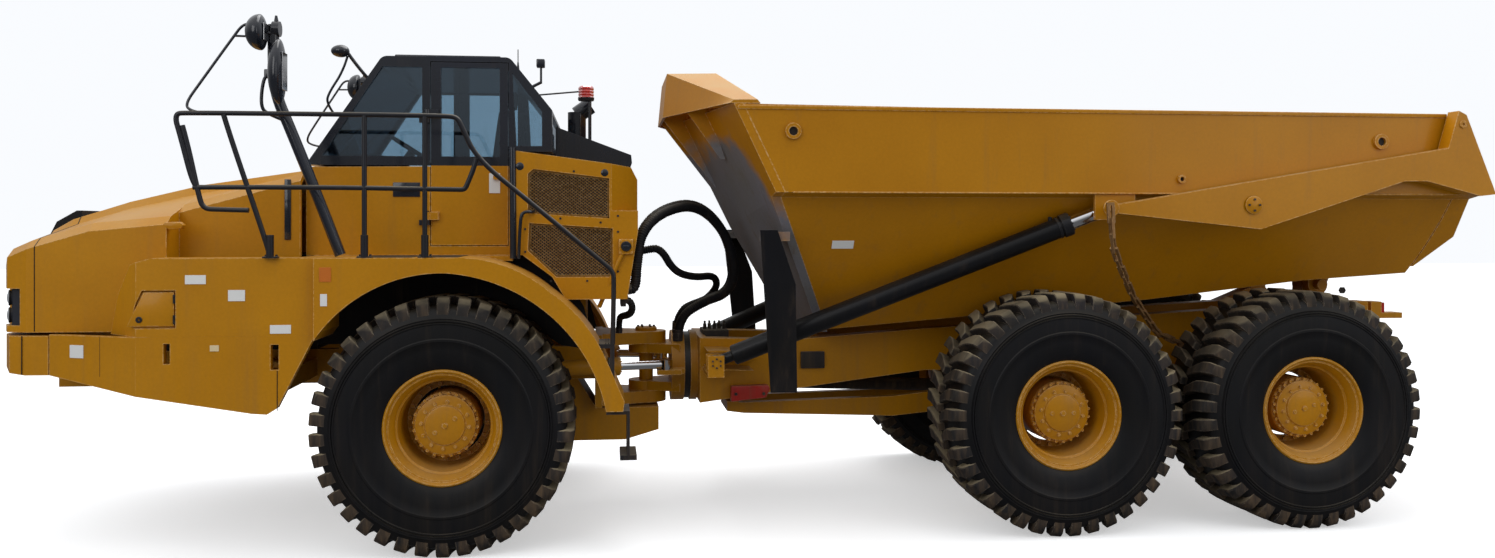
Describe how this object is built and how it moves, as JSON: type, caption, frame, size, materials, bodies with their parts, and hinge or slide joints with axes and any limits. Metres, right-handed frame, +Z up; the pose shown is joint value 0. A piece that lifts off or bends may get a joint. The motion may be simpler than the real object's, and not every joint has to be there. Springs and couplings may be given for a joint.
{
  "type": "articulated dump truck",
  "caption": "Articulated off-road hauler: a cab tractor hinged to a rocking rear frame that carries a tipping load body with a swinging tailgate.",
  "frame": {"origin": "centre of the bounding box at the ground", "axes": "+Z up, the truck faces -X, its left side (the steps' side) faces -Y"},
  "size_m": [11.38, 3.7716, 3.7892],
  "materials": {
    "yellow_paint": "dusty gloss paint",
    "black_paint": "satin black paint",
    "worn_steel": "scuffed plate",
    "dark_iron": "dusty casting",
    "tyre_rubber": "dusty rubber",
    "black_rubber": "matt rubber",
    "tinted_glass": "tinted",
    "chrome_rod": "polished",
    "chain_steel": "dull",
    "dark_plastic": "grained",
    "seat_cloth": "woven",
    "red_lens": "clear lens",
    "lamp_glass": "clear lens"
  },
  "bodies": {
    "tractor": {"front_frame": "yellow_paint", "front_axle": "dark_iron", "engine": "dark_iron", "bumper": "yellow_paint", "side_panels": "yellow_paint", "fenders": "yellow_paint", "cab_base": "yellow_paint", "cab_frame": "black_paint", "cab_glass": "tinted_glass", "cab_interior": "dark_plastic", "seat_cushions": "seat_cloth", "door_hinges": "black_paint", "radiator_housing": "yellow_paint", "grilles": "black_paint", "rear_cowl": "black_paint", "beacon": "red_lens", "left_rails": "black_paint", "mirrors": "dark_plastic", "access_steps": "black_paint"},
    "hood": {"hood": "yellow_paint", "hood_pod": "dark_plastic", "headlamps": "lamp_glass"},
    "cab_door": {"door": "yellow_paint", "door_glass": "tinted_glass"},
    "hitch": {"hitch_yoke": "yellow_paint"},
    "rear_frame": {"rear_frame": "yellow_paint", "bearing_ring": "black_rubber", "bogie": "yellow_paint", "tow_eye": "yellow_paint", "rear_lamps": "red_lens"},
    "dump_body": {"bed_floor": "worn_steel", "headboard": "worn_steel", "spill_guard": "yellow_paint", "bed_sides": "yellow_paint", "front_flaps": "black_rubber"},
    "tailgate": {"tailgate": "yellow_paint"},
    "wheel_front_left": {"rim_front_left": "yellow_paint", "tyre_front_left": "tyre_rubber"},
    "wheel_front_right": {"rim_front_right": "yellow_paint", "tyre_front_right": "tyre_rubber"},
    "wheel_mid_left": {"rim_mid_left": "yellow_paint", "tyre_mid_left": "tyre_rubber"},
    "wheel_mid_right": {"rim_mid_right": "yellow_paint", "tyre_mid_right": "tyre_rubber"},
    "wheel_rear_left": {"rim_rear_left": "yellow_paint", "tyre_rear_left": "tyre_rubber"},
    "wheel_rear_right": {"rim_rear_right": "yellow_paint", "tyre_rear_right": "tyre_rubber"},
    "steer_barrel_left": {"steer_barrel_left": "yellow_paint"},
    "steer_rod_left": {"steer_rod_left": "chrome_rod"},
    "hoist_barrel_left": {"hoist_barrel_left": "black_paint"},
    "hoist_rod_left": {"hoist_rod_left": "chrome_rod"},
    "chain_left": {"chain_left": "chain_steel"},
    "steer_barrel_right": {"steer_barrel_right": "yellow_paint"},
    "steer_rod_right": {"steer_rod_right": "chrome_rod"},
    "hoist_barrel_right": {"hoist_barrel_right": "black_paint"},
    "hoist_rod_right": {"hoist_rod_right": "chrome_rod"},
    "chain_right": {"chain_right": "chain_steel"}
  },
  "joints": [
    {"name": "roll_front_left", "type": "hinge", "parent": "tractor", "child": "wheel_front_left", "pos_m": [-2.55, -1.343, 0.92], "axis": [0, 1, 0], "continuous": true},
    {"name": "roll_front_right", "type": "hinge", "parent": "tractor", "child": "wheel_front_right", "pos_m": [-2.55, 1.343, 0.92], "axis": [0, 1, 0], "continuous": true},
    {"name": "roll_mid_left", "type": "hinge", "parent": "rear_frame", "child": "wheel_mid_left", "pos_m": [2.04, -1.343, 0.92], "axis": [0, 1, 0], "continuous": true},
    {"name": "roll_mid_right", "type": "hinge", "parent": "rear_frame", "child": "wheel_mid_right", "pos_m": [2.04, 1.343, 0.92], "axis": [0, 1, 0], "continuous": true},
    {"name": "roll_rear_left", "type": "hinge", "parent": "rear_frame", "child": "wheel_rear_left", "pos_m": [4.006, -1.343, 0.92], "axis": [0, 1, 0], "continuous": true},
    {"name": "roll_rear_right", "type": "hinge", "parent": "rear_frame", "child": "wheel_rear_right", "pos_m": [4.006, 1.343, 0.92], "axis": [0, 1, 0], "continuous": true},
    {"name": "hood_tilt", "type": "hinge", "parent": "tractor", "child": "hood", "pos_m": [-5.655, 0, 1.612], "axis": [0, -1, 0], "range_deg": [0, 60]},
    {"name": "door_swing", "type": "hinge", "parent": "tractor", "child": "cab_door", "pos_m": [-2.758, -0.974, 2.42], "axis": [0, 0, -1], "range_deg": [0, 85]},
    {"name": "steer", "type": "hinge", "parent": "tractor", "child": "hitch", "pos_m": [-1.067, 0, 1.15], "axis": [0, 0, 1], "range_deg": [-45, 45]},
    {"name": "oscillate", "type": "hinge", "parent": "hitch", "child": "rear_frame", "pos_m": [-0.725, 0, 1.15], "axis": [1, 0, 0], "range_deg": [-15, 15]},
    {"name": "dump", "type": "hinge", "parent": "rear_frame", "child": "dump_body", "pos_m": [4.75, 0, 1.837], "axis": [0, 1, 0], "range_deg": [0, 70]},
    {"name": "gate_swing", "type": "hinge", "parent": "dump_body", "child": "tailgate", "pos_m": [3.442, 0, 2.502], "axis": [0, -1, 0], "range_deg": [0, 83.5]},
    {"name": "chain_swing_left", "type": "hinge", "parent": "rear_frame", "child": "chain_left", "pos_m": [3.55, -0.65, 1.3], "axis": [0, 1, 0], "range_deg": [0, 55]},
    {"name": "hoist_swing_left", "type": "hinge", "parent": "rear_frame", "child": "hoist_barrel_left", "pos_m": [-0.55, -0.9, 1.268], "axis": [-0.3417, -0.8541, 0.3922], "range_deg": [0, 10.4]},
    {"name": "hoist_slide_left", "type": "slide", "parent": "hoist_barrel_left", "child": "hoist_rod_left", "axis": [0.9084, -0.1931, 0.3709], "range_m": [0, 2.766]},
    {"name": "steer_swing_left", "type": "hinge", "parent": "tractor", "child": "steer_barrel_left", "pos_m": [-2.07, -0.64, 1.2], "axis": [0, 0, 1], "range_deg": [-1, 1]},
    {"name": "steer_slide_left", "type": "slide", "parent": "steer_barrel_left", "child": "steer_rod_left", "axis": [0.9823, 0.1874, 0], "range_m": [-0.316, 0.316]},
    {"name": "chain_swing_right", "type": "hinge", "parent": "rear_frame", "child": "chain_right", "pos_m": [3.55, 0.65, 1.3], "axis": [0, 1, 0], "range_deg": [0, 55]},
    {"name": "hoist_swing_right", "type": "hinge", "parent": "rear_frame", "child": "hoist_barrel_right", "pos_m": [-0.55, 0.9, 1.268], "axis": [0.3417, -0.8541, -0.3922], "range_deg": [0, 10.4]},
    {"name": "hoist_slide_right", "type": "slide", "parent": "hoist_barrel_right", "child": "hoist_rod_right", "axis": [0.9084, 0.1931, 0.3709], "range_m": [0, 2.766]},
    {"name": "steer_swing_right", "type": "hinge", "parent": "tractor", "child": "steer_barrel_right", "pos_m": [-2.07, 0.64, 1.2], "axis": [0, 0, 1], "range_deg": [-1, 1]},
    {"name": "steer_slide_right", "type": "slide", "parent": "steer_barrel_right", "child": "steer_rod_right", "axis": [0.9823, -0.1874, 0], "range_m": [-0.316, 0.316]}
  ],
  "couplings": [
    {"joint": "gate_swing", "follows": "dump", "ratio": 1.186},
    {"joint": "chain_swing_left", "follows": "dump", "ratio": 0.783},
    {"joint": "hoist_swing_left", "follows": "dump", "ratio": 0.1481},
    {"joint": "hoist_slide_left", "follows": "dump", "m_per_rad": 2.2622},
    {"joint": "steer_swing_left", "follows": "steer", "ratio": 0.0156},
    {"joint": "steer_slide_left", "follows": "steer", "m_per_rad": 0.401},
    {"joint": "chain_swing_right", "follows": "dump", "ratio": 0.783},
    {"joint": "hoist_swing_right", "follows": "dump", "ratio": 0.1481},
    {"joint": "hoist_slide_right", "follows": "dump", "m_per_rad": 2.2622},
    {"joint": "steer_swing_right", "follows": "steer", "ratio": 0.0156},
    {"joint": "steer_slide_right", "follows": "steer", "m_per_rad": -0.401}
  ]
}
